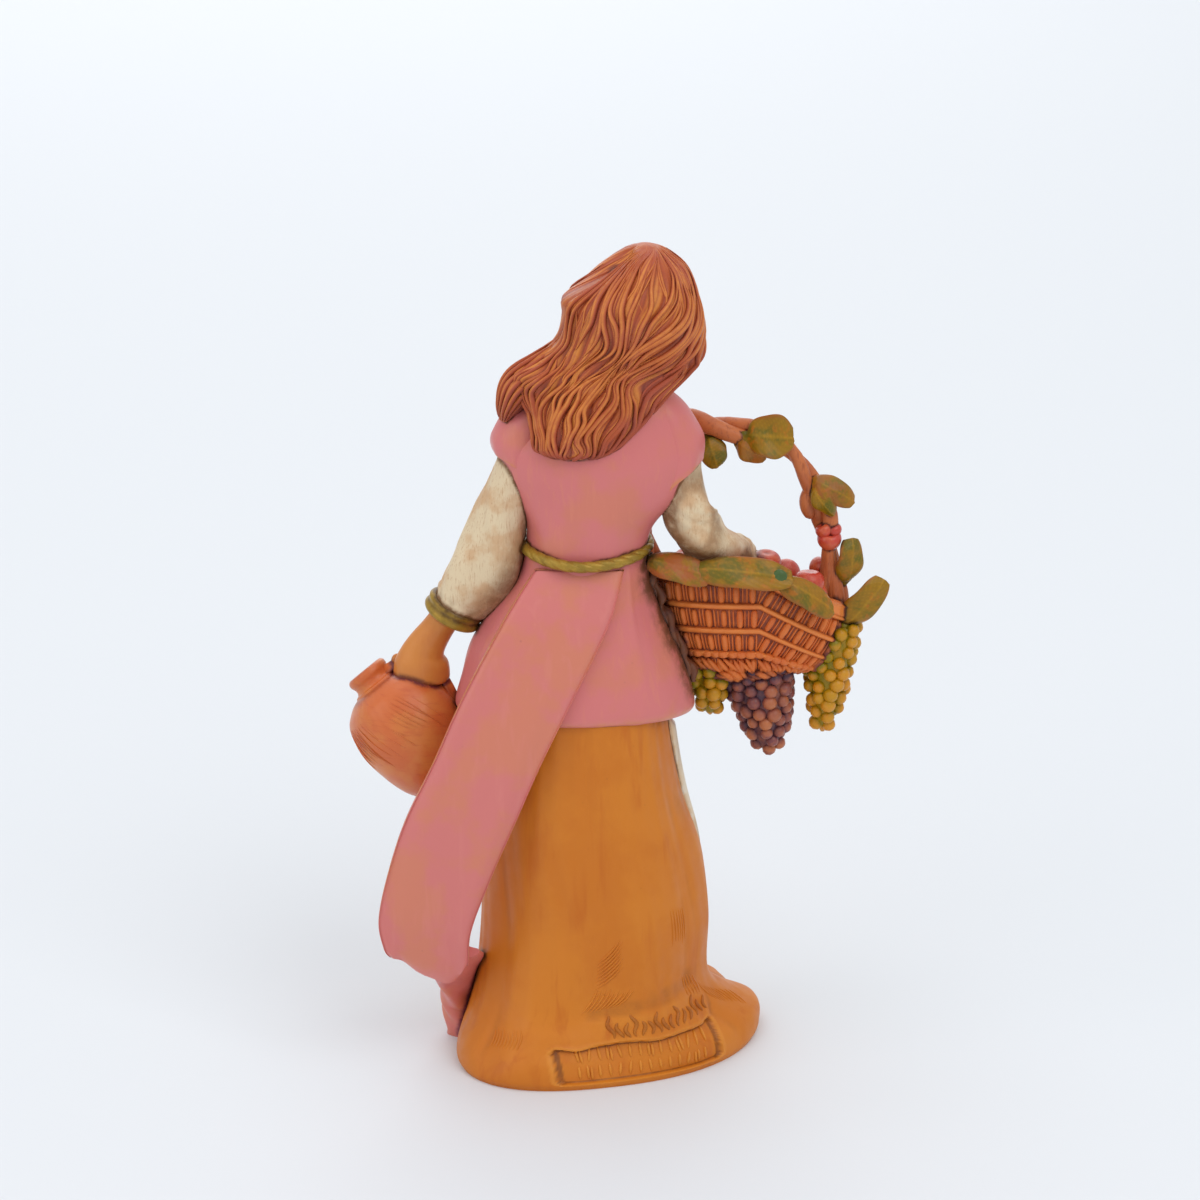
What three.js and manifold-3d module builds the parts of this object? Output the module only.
// A presepe figure of a young woman bringing in the grapes, moulded in hand-painted plastic.
// She faces -Y, her left is +X, and she stands on the spread hem of her skirt, which is the base.
// The figure is one moulding, with the jug in its left hand. The basket is a second moulding,
// glued to the right hip under the forearm. Lengths are in millimetres, +Z is up.

import * as THREE from "three";
import { mergeVertices } from "three/addons/utils/BufferGeometryUtils.js";
import Module from "manifold-3d";

const wasm = await Module();
wasm.setup();
const { Manifold, Mesh } = wasm;

// Sizes
const FIGURE_HEIGHT = 120; // underside of the base to the top of the hair
const APRON_THICK = 0.8; // how far the apron stands out over the skirt
const HEM_THICK = 1.2; // rounded lower edge of the tunic
const BELT_WIDTH = 1.6; // height of the cord belt on the waist
const BELT_SAG = 0.9; // how far the belt hangs lower at the middle of her back
const BELT_PROUD = 0.7; // how far the belt stands out over the waist
const SASH_THICK = 1.6; // thickness of the hanging sash
const CUFF_WIDTH = 2.0; // length of the gilt cuff along the forearm
const CUFF_PROUD = 0.6; // how far the cuff stands out over the sleeve
const PANEL_LENGTH = 25; // sunken panel at the back of the base
const PANEL_HEIGHT = 5;
const PANEL_DEPTH = 0.8;
const FOLD_DEPTH = 0.9; // folds of the skirt, from crest to valley's middle
const LOCK_DEPTH = 0.55; // grooves between the locks of hair
const FINGER_THICK = 1.7;
const GLUE_GAP = 0.3; // between the basket and everything that it is glued to
const STAKE_DEPTH = 0.4; // relief of the basket's upright stakes
const VINE_THICK = 2.1; // one of the two vines twisted into the basket's handle
const LEAF_THICK = 0.9;
const APPLE_DIAMETER = 4.6;
const GRAPE_DIAMETER = 2.2;

// The pose and the proportions are drawn on a grid that is 120 squares high, so that they are
// shares of the figure's height. Tables and places below are in squares of this grid.
const square = FIGURE_HEIGHT / 120;
const BASE_MIDDLE = [0.7, -1.5]; // where the middle of the base is on the grid

const radians = (degrees) => (degrees * Math.PI) / 180;
const place = (x, y, z) => new THREE.Vector3(x, y, z).multiplyScalar(square);
const bump = (value, middle, width) => Math.exp(-(((value - middle) / width) ** 2));
const rise = (value, from, to) => THREE.MathUtils.smoothstep(value, from, to);

// A smooth curve through the rows of a table, at t from 0, the first row, to 1, the last.
function between(rows, t) {
  const last = rows.length - 1;
  const start = Math.min(Math.floor(t * last), last - 1);
  const f = t * last - start;
  const row = (index) => rows[Math.min(Math.max(index, 0), last)];
  return rows[0].map((_, column) => {
    const [p, a, b, q] = [start - 1, start, start + 1, start + 2].map((i) => row(i)[column]);
    return a + 0.5 * f * (b - p + f * (2 * p - 5 * a + 4 * b - q + f * (3 * (a - b) + q - p)));
  });
}

// A closed triangle mesh as a solid with its faces pointing out.
function solidOf(geometry) {
  const bare = new THREE.BufferGeometry().setAttribute("position", geometry.getAttribute("position"));
  bare.setIndex(geometry.index);
  const merged = mergeVertices(bare, 1e-4);
  const corners = [];
  for (let i = 0; i < merged.index.count; i += 3) {
    const [a, b, c] = [0, 1, 2].map((k) => merged.index.getX(i + k));
    if (a !== b && b !== c && c !== a) corners.push(a, b, c);
  }
  const vertProperties = merged.attributes.position.array;
  const make = (order) =>
    new Manifold(new Mesh({ numProp: 3, vertProperties, triVerts: new Uint32Array(order) }));
  const solid = make(corners);
  return solid.volume() > 0 ? solid : make(corners.reverse());
}

// Loops of points with as many points each, skinned into one solid that is closed at both ends.
// Where every second point of a checkered skin stands out, it makes a pyramid of its own.
function skin(loops, frame = new THREE.Matrix4(), checkered = false) {
  const sides = loops[0].length;
  const points = loops.flat();
  const index = [];
  for (let i = 0; i + 1 < loops.length; i++) {
    for (let j = 0; j < sides; j++) {
      const k = (j + 1) % sides;
      const [a, b] = [i * sides + j, i * sides + k];
      if (checkered && (i + j) % 2 === 0) index.push(a, b, a + sides, b, b + sides, a + sides);
      else index.push(a, b, b + sides, a, b + sides, a + sides);
    }
  }
  for (const end of [0, loops.length - 1]) {
    const middle = new THREE.Vector3();
    loops[end].forEach((point) => middle.addScaledVector(point, 1 / sides));
    points.push(middle);
    for (let j = 0; j < sides; j++) {
      const [a, b] = [end * sides + j, end * sides + ((j + 1) % sides)];
      index.push(points.length - 1, ...(end ? [a, b] : [b, a]));
    }
  }
  const geometry = new THREE.BufferGeometry().setFromPoints(points);
  return solidOf(geometry.setIndex(index).applyMatrix4(frame));
}

// A body of level rings. A row is x, y, z, half width, half depth, and may go on with the rise to
// the left, the skew to the back and the roundness of its corners, from 1, an ellipse, down.
// shape(turn, t) moves the outline out and up; turn 0 is her left and a quarter turn her back.
function rings(rows, count, sides, shape = () => [0, 0], grow = 0, frame = undefined) {
  const loops = [];
  for (let i = 0; i <= count; i++) {
    const [x, y, z, wide, deep, lean = 0, skew = 0, corner = 1] = between(rows, i / count);
    const loop = [];
    for (let j = 0; j < sides; j++) {
      const turn = (2 * Math.PI * j) / sides;
      const soft = (share) => Math.sign(share) * Math.abs(share) ** corner;
      const [out, up] = shape(turn, i / count);
      const across = soft(Math.cos(turn)) * (wide * square + out + grow);
      const back = soft(Math.sin(turn)) * (deep * square + out + grow);
      const ends = grow * (i === 0 ? -1 : i === count ? 1 : 0);
      const point = place(x, y, z);
      loop.push(point.add(new THREE.Vector3(across, back + skew * across, lean * across + up + ends)));
    }
    loops.push(loop);
  }
  return skin(loops, frame);
}

// A limb along a curve. A row is x, y, z, half width, half thickness; facing is the way that the
// thickness is measured. shape(turn, t) moves the outline out.
function limb(rows, count, sides, facing = [0, 1, 0], shape = () => 0, grow = 0, frame = undefined) {
  const loops = [];
  const up = new THREE.Vector3(...facing);
  for (let i = 0; i <= count; i++) {
    const t = i / count;
    const [x, y, z, wide, thick] = between(rows, t);
    const before = place(...between(rows, Math.max(t - 0.02, 0)));
    const tangent = place(...between(rows, Math.min(t + 0.02, 1))).sub(before).normalize();
    const across = new THREE.Vector3().crossVectors(up, tangent).normalize();
    const out = new THREE.Vector3().crossVectors(tangent, across);
    const middle = place(x, y, z);
    if (i === 0) middle.addScaledVector(tangent, -grow);
    if (i === count) middle.addScaledVector(tangent, grow);
    const loop = [];
    for (let j = 0; j < sides; j++) {
      const turn = (2 * Math.PI * j) / sides;
      const add = shape(turn, t) + grow;
      const point = middle.clone().addScaledVector(across, Math.cos(turn) * (wide * square + add));
      loop.push(point.addScaledVector(out, Math.sin(turn) * (thick * square + add)));
    }
    loops.push(loop);
  }
  return skin(loops, frame);
}

// An egg-shaped lump with its middle and half sizes on the grid, turned by a frame if one is given.
function lump(middle, half, frame = new THREE.Matrix4(), grow = 0, around = 8, high = 6) {
  const geometry = new THREE.SphereGeometry(1, around, high);
  geometry.scale(...half.map((size) => size * square + grow));
  geometry.translate(...middle.map((size) => size * square));
  return solidOf(geometry.applyMatrix4(frame));
}

// Skirt and base

// The ring table runs from the underside up to where the tunic covers the skirt.
const SKIRT = [
  [0.7, -1.5, 0, 21.9, 18.0, 0, 0.25, 0.85],
  [0.7, -1.5, 1.2, 22.3, 18.3, 0, 0.25, 0.85],
  [0.8, -1.4, 3.6, 21.6, 17.5, 0, 0.24, 0.86],
  [2.3, -1.0, 6.6, 18.9, 15.9, 0, 0.17, 0.9],
  [3.3, -0.6, 11, 16.9, 14.2, 0, 0.07, 0.95],
  [2.8, -0.2, 21, 16.4, 12.9, 0, 0, 1],
  [3.2, 0, 31, 15.7, 12.2, 0, 0, 1],
  [4.2, 0, 43, 14.2, 11.3, 0, 0, 1],
  [4.6, 0, 57, 12.6, 9.8, 0, 0, 1],
];
// Middle of each fold in degrees, its half width in degrees and its share of the fold depth.
const SKIRT_FOLDS = [
  [38, 9, -0.6],
  [62, 12, 0.5],
  [92, 9, -0.45],
  [118, 12, 0.6],
  [148, 9, -0.7],
  [176, 12, 0.8],
  [203, 9, -0.9],
  [226, 11, 1.0],
  [249, 8, -0.9],
  [270, 11, 1.1],
  [291, 8, -1.0],
  [313, 11, 1.0],
  [335, 9, -0.8],
];

function skirtFolds(turn, t) {
  const degrees = (turn * 180) / Math.PI;
  const depth = FOLD_DEPTH * rise(t, 0.05, 0.3) * (1 - 0.6 * rise(t, 0.5, 1));
  const folds = SKIRT_FOLDS.map(([middle, width, share]) => share * bump(degrees, middle, width));
  return [depth * folds.reduce((sum, fold) => sum + fold, 0), 0];
}

// The apron lies over her front only, so its thickness fades at its two edges and at its hem.
function skirtOutline(turn, t) {
  const round = THREE.MathUtils.euclideanModulo((turn * 180) / Math.PI, 360);
  const front = rise(round, 181, 193) * (1 - rise(round, 331, 343));
  const [fold, up] = skirtFolds(turn, t);
  return [fold + APRON_THICK * front * rise(t, 0.4, 0.44), up];
}

function skirt() {
  return rings(SKIRT, 11, 32, skirtOutline);
}

// The panel's back wall keeps the curve of the base, PANEL_DEPTH in from its skin.
function panelCut() {
  const block = new THREE.BoxGeometry(PANEL_LENGTH, 14 * square, PANEL_HEIGHT);
  const edge = 0.9 * square;
  block.translate(0, 0, PANEL_HEIGHT / 2 + edge);
  block.rotateZ(radians(23));
  block.translate(-4 * square, 15.2 * square, 0);
  const core = rings(SKIRT, 11, 32, (turn, t) => [skirtOutline(turn, t)[0] - PANEL_DEPTH, 0]);
  return solidOf(block).subtract(core);
}

function shoes() {
  const toe = (x, y, turn) => {
    const frame = new THREE.Matrix4().makeRotationZ(radians(turn));
    frame.setPosition(place(x, y, 2.3));
    return lump([0, 0, 0], [2.7, 4.6, 2.2], frame, 0, 10, 6);
  };
  return [toe(9.5, -16.2, 12), toe(-2.5, -17.6, -8)];
}

// Tunic

const TUNIC_SKIRT = [
  [5.5, -0.3, 51.7, 15.7, 10.1],
  [5.5, -0.3, 52.0, 16.6, 11.0],
  [5.5, -0.3, 53.6, 17.1, 11.4],
  [5.4, -0.2, 57.5, 16.2, 10.9],
  [5.7, -0.1, 62.5, 14.5, 10.0],
  [5.2, 0, 68, 11.7, 8.4],
  [4.2, 0, 73, 9.3, 7.0],
  [4.0, 0, 77, 8.6, 6.4],
];
const BODICE = [
  [4.0, 0, 73.8, 8.8, 6.5, 0],
  [3.2, 0, 79.6, 9.2, 6.8, -0.02],
  [1.8, 0, 84.5, 12.1, 7.3, -0.05],
  [1.9, 0.1, 89, 14.0, 7.6, -0.06],
  [2.2, 0.1, 92.6, 14.2, 7.2, -0.1],
  [1.2, 0, 96.4, 11.6, 6.2, -0.16],
  [0.0, -0.3, 99.4, 6.6, 4.8, -0.16],
  [-1.2, -0.8, 102, 3.8, 4.0, -0.14],
  [-1.9, -1.3, 106, 3.5, 3.8, -0.1],
];

function tunicSkirt(grow = 0) {
  const lift = (turn, t) => [0, (1 - rise(t, 0, 0.6)) * HEM_THICK * Math.sin(turn)];
  return rings(TUNIC_SKIRT, 6, 26, lift, grow);
}

// The bust is two soft swellings on her front.
function bodice(grow = 0) {
  const bust = (turn, t) => {
    const side = bump(turn, radians(247), 0.33) + bump(turn, radians(293), 0.33);
    return [2.1 * square * side * bump(t, 0.42, 0.13), 0];
  };
  return rings(BODICE, 9, 22, bust, grow);
}

function belt(grow = 0) {
  const [x, y, , wide, deep] = between(BODICE, 0.06);
  const half = BELT_WIDTH / 2 / square;
  const level = (up, out) => [x, y, 75.6 + up * half, wide + out / square, deep + out / square];
  const rim = BELT_PROUD + 0.3;
  const rows = [level(-1, -1), level(-0.6, rim), level(0.6, rim), level(1, -1)];
  return rings(rows, 3, 22, (turn) => [0, -BELT_SAG * Math.sin(turn)], grow);
}

// The cap sleeves are short flared cones over the tops of the arms.
function capSleeves(grow = 0) {
  const left = [
    [9, 0.2, 95.6, 3.4, 3.8],
    [12.2, 0, 94.0, 3.9, 4.4],
    [13.5, 0, 91.6, 3.7, 4.6],
    [13.6, 0.2, 89.2, 3.0, 4.2],
  ];
  const right = [
    [-5.6, 0, 98.0, 3.4, 4.0],
    [-8.0, 0, 95.8, 3.8, 4.5],
    [-8.8, 0, 91.8, 3.8, 4.8],
    [-8.4, 0.2, 87.6, 3.6, 4.6],
  ];
  return [left, right].map((rows) => limb(rows, 4, 9, [0, 1, 0], () => 0, grow));
}

// The sash hangs from the belt over the back of the hip, swings free and turns under at its end.
const SASH = [
  [5.4, 5.4, 75.6, 5.8, 0, 0],
  [8.5, 8.9, 68, 7.3, 0, 0.04],
  [13.6, 11.3, 57.5, 7.8, 0, -0.04],
  [18.0, 12.4, 48, 7.6, 0, -0.06],
  [21.8, 12.8, 39.5, 7.8, 0, -0.06],
  [24.8, 12.8, 31.4, 7.3, 0.05, -0.04],
  [27.0, 12.4, 24, 6.6, 0.15, 0],
  [26.8, 11.4, 19.0, 6.0, 0.3, 0.05],
  [26.6, 10.2, 17.4, 5.4, 0.3, 0.05],
];
const SASH_TAIL = [
  [25.6, 10.0, 17.6, 3.0, 1.0],
  [25.2, 6.4, 15.2, 3.2, 1.4],
  [24.6, 1.8, 11.6, 3.0, 1.8],
  [24.0, -1.4, 6.4, 2.6, 2.3],
  [22.6, -3.0, 0.9, 2.2, 3.0],
];

function sash() {
  const thick = SASH_THICK / 2 / square;
  const squarish = 0.7;
  const rows = SASH.map(([x, y, z, wide, lean, skew]) => [x, y, z, wide, thick, lean, skew, squarish]);
  const band = rings(rows, 9, 8);
  const tail = limb(SASH_TAIL, 5, 7, [0.3, 0.4, 1]);
  const floor = new THREE.BoxGeometry(80, 80, 20).translate(0, 0, -10);
  return [band, tail.subtract(solidOf(floor))];
}

// Arms

const LEFT_SLEEVE = [
  [12.6, 0, 92.0, 3.0, 3.2],
  [14.1, 0, 87.0, 3.2, 3.5],
  [16.0, -0.2, 80.8, 4.0, 4.0],
  [17.9, -0.5, 74.6, 4.6, 4.2],
  [20.9, -0.9, 69.9, 4.1, 3.9],
  [23.8, -1.3, 65.7, 3.1, 3.2],
];
const LEFT_FOREARM = [
  [23.0, -1.2, 66.8, 2.2, 2.2],
  [25.2, -1.5, 63.6, 2.3, 2.2],
  [27.0, -1.8, 60.6, 2.9, 2.3],
  [28.3, -2.0, 57.6, 3.7, 2.6],
  [28.8, -2.2, 55.4, 3.4, 2.4],
];
const RIGHT_SLEEVE = [
  [-9.2, 0.2, 92.0, 3.0, 3.2],
  [-9.4, 0.6, 86.5, 3.1, 3.5],
  [-10.7, 1.2, 81.0, 3.6, 3.7],
  [-13.3, 0.5, 76.4, 3.9, 3.8],
  [-15.6, -3.2, 73.6, 3.5, 3.5],
  [-18.0, -7.8, 71.8, 2.9, 3.0],
];
const RIGHT_FOREARM = [
  [-17.0, -5.6, 72.4, 2.0, 2.0],
  [-18.8, -9.6, 71.2, 2.0, 1.9],
  [-19.8, -12.8, 70.0, 2.7, 1.7],
  [-20.2, -15.6, 68.6, 2.9, 1.5],
];

// Soft puckers where the cloth gathers, deepest at the middle of the sleeve.
const puckers = (turn, t) => 0.3 * Math.sin(3 * turn + 9 * t) * bump(t, 0.6, 0.35);

// A gilt band round the end of a sleeve, across the way that the sleeve runs there.
function cuff(sleeve, at, facing) {
  const [x, y, z, wide, thick] = between(sleeve, at);
  const before = place(...between(sleeve, at - 0.05));
  const way = place(x, y, z).sub(before).normalize();
  const out = CUFF_PROUD / square;
  const row = (along, grow) => {
    const [dx, dy, dz] = way.toArray().map((share) => (share * along * CUFF_WIDTH) / square);
    return [x + dx, y + dy, z + dz, wide + grow, thick + grow];
  };
  const rows = [row(-0.5, -0.6), row(-0.42, out * 0.5), row(0, out), row(0.42, out * 0.5), row(0.5, -0.6)];
  return limb(rows, 4, 10, facing);
}

// One finger as a tapered limb through three places.
function finger(points, grow = 0) {
  const half = FINGER_THICK / 2 / square;
  const rows = points.map((point, i) => [...point, half * (1 - 0.1 * i), half * (1 - 0.1 * i)]);
  return limb(rows, 3, 5, [0.2, 0.3, 1], () => 0, grow);
}

function leftArm() {
  const fingers = [0, 1, 2, 3].map((i) => {
    const [x, z] = [31.0 - 1.7 * i, 58.1 - 0.6 * i];
    return finger([[x, -2.6, z + 0.4], [x + 0.3, -5.4, z - 0.9], [x, -4.6, z - 3.2]]);
  });
  return [
    limb(LEFT_SLEEVE, 7, 11, [0, 1, 0], puckers),
    cuff(LEFT_SLEEVE, 0.96, [0, 1, 0]),
    limb(LEFT_FOREARM, 4, 9),
    ...fingers,
  ];
}

function rightArm(grow = 0) {
  const fingers = [0, 1, 2, 3].map((i) => {
    const x = -17.8 - 1.6 * i;
    return finger([[x, -14.6, 69.4], [x - 0.2, -17.0, 68.2], [x - 0.3, -17.2, 65.6]], grow);
  });
  return [
    limb(RIGHT_SLEEVE, 8, 11, [0, 0.3, 1], puckers, grow),
    limb(RIGHT_FOREARM, 4, 9, [0, 0.3, 1], () => 0, grow),
    ...fingers,
  ];
}

// Jug: a turned pot on its own axis, from foot to lip, with a strap handle in her fist

const JUG_PROFILE = [
  [0, -10.0],
  [4.0, -10.0],
  [6.9, -6.8],
  [8.4, -2.6],
  [8.5, 1.2],
  [7.2, 5.2],
  [4.2, 8.0],
  [2.9, 9.0],
  [3.3, 11.3],
  [2.8, 11.7],
  [2.0, 11.2],
  [0, 10.2],
];
const JUG_MIDDLE = [29.3, -2.4, 47.6];
const JUG_AXIS = [0.63, -0.22, 0.745];
const JUG_HANDLE = [
  [34.2, -4.2, 56.0, 1.0, 1.2],
  [32.4, -3.8, 58.4, 0.9, 1.2],
  [29.8, -3.0, 58.8, 0.9, 1.2],
  [26.0, -2.6, 57.8, 0.9, 1.2],
  [23.2, -2.4, 55.4, 0.9, 1.2],
  [22.9, -2.2, 52.0, 1.1, 1.3],
];

function jug() {
  const profile = JUG_PROFILE.map(([radius, up]) => new THREE.Vector2(radius, up).multiplyScalar(square));
  const pot = new THREE.LatheGeometry(profile, 14);
  const up = new THREE.Vector3(0, 1, 0);
  const axis = new THREE.Vector3(...JUG_AXIS).normalize();
  pot.applyQuaternion(new THREE.Quaternion().setFromUnitVectors(up, axis));
  pot.translate(...place(...JUG_MIDDLE));
  return [solidOf(pot), limb(JUG_HANDLE, 7, 5)];
}

// Head and hair

// The head looks up and a little to her left, with its crown over her right shoulder.
const headFrame = new THREE.Matrix4()
  .makeRotationFromEuler(new THREE.Euler(radians(-14), radians(-13), radians(16), "ZXY"))
  .setPosition(place(-3.1, -1.4, 110.8));

// From under the chin to above the forehead, level rings of the face in the head's own frame.
const FACE = [
  [0, -3.4, -9.6, 2.0, 2.2],
  [0, -3.6, -8.8, 3.1, 3.4],
  [0, -3.2, -6.6, 4.2, 4.3],
  [0, -2.4, -3.8, 5.0, 5.0],
  [0, -1.6, -0.8, 5.5, 5.6],
  [0, -1.0, 2.4, 5.8, 6.3],
  [0, -0.6, 5.0, 5.4, 6.0],
  [0, 0, 7.4, 3.6, 4.4],
];
// The nose from its tip up to between the eyes.
const NOSE = [
  [0, -6.6, -4.3, 0.8, 0.5],
  [0, -7.5, -3.7, 1.0, 1.0],
  [0, -7.1, -2.0, 0.7, 0.8],
  [0, -6.5, 0.2, 0.6, 0.6],
];

function head() {
  const front = (turn, t) => {
    const eyes = bump(turn, radians(247), 0.2) + bump(turn, radians(293), 0.2);
    return [-0.7 * square * eyes * bump(t, 0.6, 0.09), 0];
  };
  return [
    rings(FACE, 7, 14, front, 0, headFrame),
    limb(NOSE, 3, 6, [0, -1, 0], () => 0, 0, headFrame),
    lump([0, -6.9, -6.0], [1.5, 0.8, 0.6], headFrame),
    lump([0, -6.0, -8.3], [1.4, 1.0, 0.9], headFrame),
  ];
}

const HAIR = [
  [5.6, 6.4, 91.8, 3.6, 2.0],
  [5.6, 5.8, 92.8, 5.8, 3.2],
  [5.6, 5.2, 94.8, 8.1, 4.1],
  [4.9, 4.2, 97.6, 10.2, 4.9],
  [4.0, 3.2, 100.2, 11.6, 5.4],
  [2.3, 2.2, 102.6, 12.4, 6.2],
  [-0.6, 1.2, 104.6, 11.5, 7.2],
  [-2.2, 0.5, 107.2, 10.3, 8.3],
  [-2.6, 0.2, 110.6, 9.8, 8.9],
  [-2.8, 0, 113.6, 9.2, 8.6],
  [-3.5, -0.3, 116.6, 7.3, 7.0],
  [-4.2, -0.6, 119.0, 4.2, 4.4],
  [-4.3, -0.7, 120.0, 1.6, 1.8],
];
const LEFT_LOCK = [
  [7.0, 0.5, 106.4, 2.0, 2.4],
  [10.6, 0.8, 104.0, 2.4, 3.0],
  [13.4, 1.0, 100.6, 2.4, 3.2],
  [14.0, 1.2, 97.4, 1.9, 2.8],
  [13.8, 1.4, 95.0, 0.8, 1.4],
];
const LOCKS_AROUND = 11;

// Locks fall from the crown and swing to her left as they go down.
function hair() {
  const locks = (turn, t) => {
    const wave = 0.3 * Math.sin(9 * t + turn) + 1.1 * (1 - t);
    const ridge = Math.cos(LOCKS_AROUND * (turn + wave));
    return [LOCK_DEPTH * ridge * (1 - rise(t, 0.8, 1)) * rise(t, -0.1, 0.1), 0];
  };
  const mass = rings(HAIR, 13, 33, locks);
  const face = lump([0, -9.2, -3.4], [5.4, 6.4, 7.6], headFrame, 0, 12, 8);
  return [mass.subtract(face), limb(LEFT_LOCK, 5, 6)];
}

// Basket: a full wicker bowl whose outer half droops, drawn round the middle of its rim

const BASKET_MIDDLE = [-19.4, -6.0, 72.2];
const BASKET_DEPTH = 17.2 * square;
const RIM_WIDE = 13.9 * square;
const RIM_DEEP = 9.6 * square;
const STAKES = 14; // upright stakes round each of the rows
const BAND_LEVELS = [0, 0.27, 0.51, 0.73, 1]; // plaited bands, as shares of the depth
const BAND_HALF = 0.035;
const DROOP = 0.54; // how far the outer half falls for each millimetre that it reaches out
const TIP = 0.2; // how far the front side falls for each millimetre that it reaches forward

const droop = (x, y) => -DROOP * Math.max(0, -x - 1.2 * square) + TIP * y;

function basketPoint(turn, level, out) {
  const round = Math.sqrt(1 - (0.9 * level) ** 2.3);
  const x = Math.cos(turn) * (RIM_WIDE * round + out);
  const y = Math.sin(turn) * (RIM_DEEP * round + out);
  const middle = place(...BASKET_MIDDLE);
  return middle.add(new THREE.Vector3(x, y, droop(x, y) - level * BASKET_DEPTH));
}

// Each row of stakes is a pair of loops whose points stand in and out in turn.
function basketBowl() {
  const sides = 2 * STAKES;
  const loop = (level, depth) =>
    Array.from({ length: sides }, (_, j) => {
      const out = j % 2 ? 0 : -depth;
      return basketPoint((2 * Math.PI * j) / sides, level, out);
    });
  const loops = [];
  BAND_LEVELS.forEach((level, row) => {
    if (row > 0) loops.push(loop(level - 2 * BAND_HALF, STAKE_DEPTH));
    loops.push(loop(Math.max(level - BAND_HALF, 0), -0.1));
    if (level < 1) loops.push(loop(level + 2 * BAND_HALF, STAKE_DEPTH));
  });
  return skin(loops);
}

// Apples heaped in the bowl, in a ring round the middle.
function apples() {
  const heap = [];
  for (const [count, reach, up] of [[8, 0.74, -0.6], [2, 0.3, 0.1]]) {
    for (let i = 0; i < count; i++) {
      const turn = (2 * Math.PI * (i + 0.3)) / count;
      const [x, y] = [Math.cos(turn) * reach * RIM_WIDE, Math.sin(turn) * reach * RIM_DEEP];
      const apple = new THREE.SphereGeometry(APPLE_DIAMETER / 2, 6, 4);
      const middle = place(...BASKET_MIDDLE);
      apple.translate(middle.x + x, middle.y + y, middle.z + droop(x, y) + up * square);
      heap.push(solidOf(apple));
    }
  }
  return heap;
}

// Two vines twisted round each other make the arched handle.
const HANDLE = [
  [-32.0, -6.0, 61.8],
  [-32.3, -6.0, 66.6],
  [-31.2, -6.0, 71.8],
  [-30.4, -6.0, 76.2],
  [-28.9, -6.0, 80.8],
  [-27.6, -6.0, 84.4],
  [-25.4, -6.0, 88.4],
  [-21.8, -6.2, 91.2],
  [-17.8, -6.6, 91.9],
  [-14.0, -7.4, 91.8],
  [-10.2, -8.8, 91.6],
  [-7.4, -10.0, 88.0],
  [-6.4, -10.4, 82.4],
  [-6.6, -9.8, 76.6],
  [-7.8, -8.2, 70.8],
];
const HANDLE_TWISTS = 3.5;

// The section is two rounds side by side, and it turns as it goes along.
function handle() {
  const half = (0.72 * VINE_THICK) / square;
  const rows = HANDLE.map((point) => [...point, half, half]);
  const twist = (turn, t) => 0.3 * VINE_THICK * Math.cos(2 * (turn - Math.PI * HANDLE_TWISTS * t));
  return limb(rows, 22, 6, [0, 1, 0], twist);
}

// Where a leaf's stalk starts: just inside the rim, or on the middle line of the handle.
const inRim = (degrees) => {
  const point = basketPoint(radians(degrees), 0.06, -1.5 * square);
  return point.divideScalar(square).toArray();
};
const inHandle = (t) => between(HANDLE, t);

// A vine leaf: a short stalk, then five blunt lobes round a midrib, cupped along its length.
function leaf([stalk, from, to, facing, width]) {
  const steps = 4;
  const rows = [[...stalk, width / 6, LEAF_THICK / 2 / square]];
  const cup = new THREE.Vector3(...facing).normalize();
  for (let i = 0; i <= steps; i++) {
    const t = i / steps;
    const lobes = Math.sqrt(Math.sin(Math.PI * (0.06 + 0.88 * t))) * (1 + 0.16 * Math.cos(9 * t));
    const lift = 1.2 * Math.sin(Math.PI * t);
    const point = from.map((start, k) => start + (to[k] - start) * t + cup.toArray()[k] * lift);
    rows.push([...point, (width / 2) * lobes, LEAF_THICK / 2 / square]);
  }
  return limb(rows, steps + 1, 4, facing);
}

// Stalk, from, to, the way that its upper side faces, and width.
const LEAVES = [
  [inRim(48), [-5.4, 1.6, 74.4], [-13.2, 4.0, 72.4], [0, 1, 0.8], 4.6],
  [inRim(70), [-12.0, 3.6, 72.8], [-24.6, 4.4, 71.4], [0, 1, 0.7], 6.4],
  [inRim(105), [-23.2, 3.6, 71.6], [-31.4, 1.4, 66.2], [-0.3, 1, 0.8], 4.8],
  [inHandle(0.05), [-33.2, -4.2, 62.6], [-39.0, -4.0, 70.6], [-0.6, 0.8, 0.2], 4.6],
  [inHandle(0.12), [-32.4, -5.4, 69.6], [-34.4, -4.8, 76.2], [-0.4, 1, 0], 4.8],
  [inHandle(0.27), [-28.6, -5.4, 80.4], [-34.2, -5.0, 82.4], [-0.1, 1, 0.3], 5.4],
  [inHandle(0.26), [-28.8, -5.4, 79.6], [-26.6, -5.2, 83.6], [0.2, 1, 0], 3.2],
  [inHandle(0.57), [-17.6, -5.6, 91.2], [-25.6, -4.8, 91.6], [0, 1, 0.3], 7.2],
  [inHandle(0.65), [-13.2, -6.4, 92.0], [-14.8, -6.0, 86.2], [0, 1, 0.1], 4.4],
  [inRim(-52), [-11.6, -13.4, 70.6], [-8.0, -16.6, 67.2], [0.3, -0.8, 0.7], 5.2],
  [inRim(234), [-27.2, -13.4, 65.6], [-31.0, -16.8, 61.8], [-0.5, -0.8, 0.7], 5.2],
];

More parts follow.
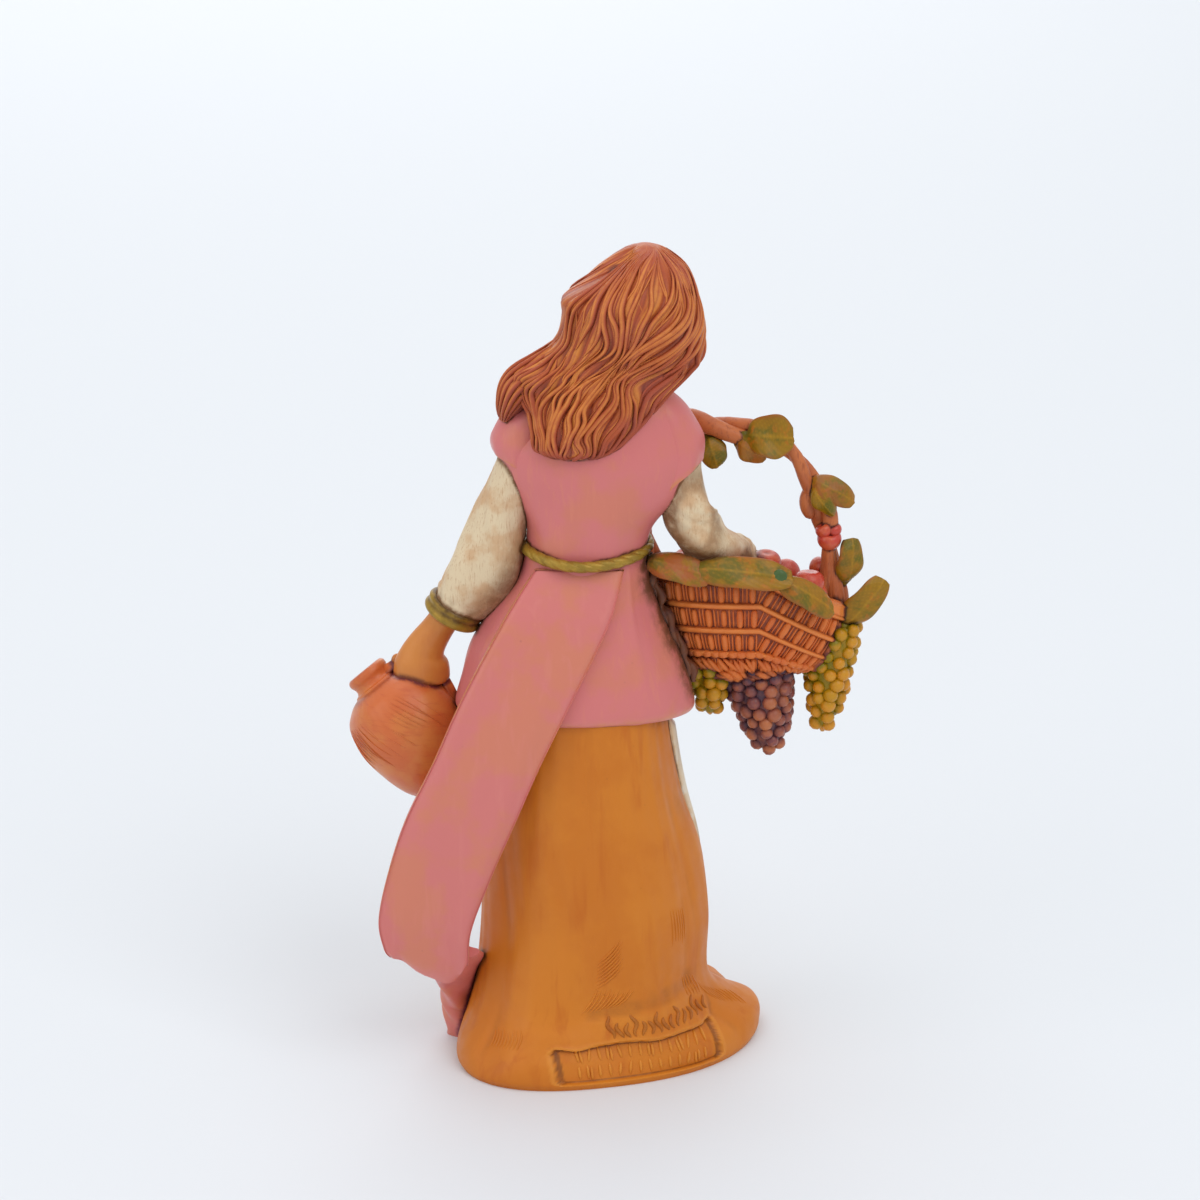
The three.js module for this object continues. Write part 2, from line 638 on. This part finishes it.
// A bunch hangs from the rim. Round each level every second point stands out as a grape, and the
// next level's grapes sit over the gaps.
function bunch([top, tip, radius]) {
  const from = place(...top);
  const way = place(...tip).sub(from);
  const levels = Math.round(way.length() / (0.84 * GRAPE_DIAMETER));
  const around = Math.round((2 * Math.PI * radius * square) / (1.1 * GRAPE_DIAMETER));
  const loops = [];
  for (let level = 0; level <= levels; level++) {
    const t = level / levels;
    const reach = radius * square * Math.sqrt(1 - (0.97 * t) ** 1.7);
    const loop = [];
    for (let j = 0; j < 2 * around; j++) {
      const turn = (Math.PI * j) / around;
      const sunk = (j + level) % 2 ? 0.4 * GRAPE_DIAMETER : 0;
      const point = from.clone().addScaledVector(way, t);
      const flat = Math.max(reach - sunk, 0.2);
      loop.push(point.add(new THREE.Vector3(Math.cos(turn) * flat, Math.sin(turn) * flat, 0)));
    }
    loops.push(loop);
  }
  return skin(loops, undefined, true);
}

// Middle of the top, the tip, and the radius at the top.
const BUNCHES = [
  [[-14.2, -2.6, 57.8], [-14.0, -2.4, 50.6], 3.2],
  [[-21.4, -3.4, 58.2], [-21.6, -2.6, 44.2], 5.2],
  [[-31.4, -5.2, 62.6], [-31.3, -5.0, 46.2], 4.3],
];

function basket() {
  const dress = [tunicSkirt(GLUE_GAP), bodice(GLUE_GAP), belt(GLUE_GAP), ...capSleeves(GLUE_GAP)];
  const glued = Manifold.union([...dress, ...rightArm(GLUE_GAP)]);
  const parts = [basketBowl(), ...apples(), handle(), ...LEAVES.map(leaf), ...BUNCHES.map(bunch)];
  return Manifold.union(parts).subtract(glued);
}

function figure() {
  const dress = [skirt(), ...shoes(), tunicSkirt(), bodice(), belt(), ...capSleeves(), ...sash()];
  const limbs = [...leftArm(), ...rightArm(), ...jug()];
  const whole = Manifold.union([...dress, ...limbs, ...head(), ...hair()]);
  return whole.subtract(panelCut());
}

// A solid as a named mesh, with the middle of the base brought to the origin.
function mesh(name, solid, colour, roughness) {
  const { vertProperties, triVerts } = solid.getMesh();
  const geometry = new THREE.BufferGeometry();
  geometry.setAttribute("position", new THREE.BufferAttribute(vertProperties, 3));
  geometry.setIndex(new THREE.BufferAttribute(triVerts, 1));
  const material = new THREE.MeshStandardMaterial({ color: colour, roughness, metalness: 0 });
  const made = new THREE.Mesh(geometry, material);
  made.name = name;
  made.position.set(-BASE_MIDDLE[0] * square, -BASE_MIDDLE[1] * square, 0);
  return made;
}

const presepe = new THREE.Group();
presepe.add(mesh("figure", figure(), 0xc97f52, 0.45));
presepe.add(mesh("basket", basket(), 0xa85f38, 0.5));

export default presepe;
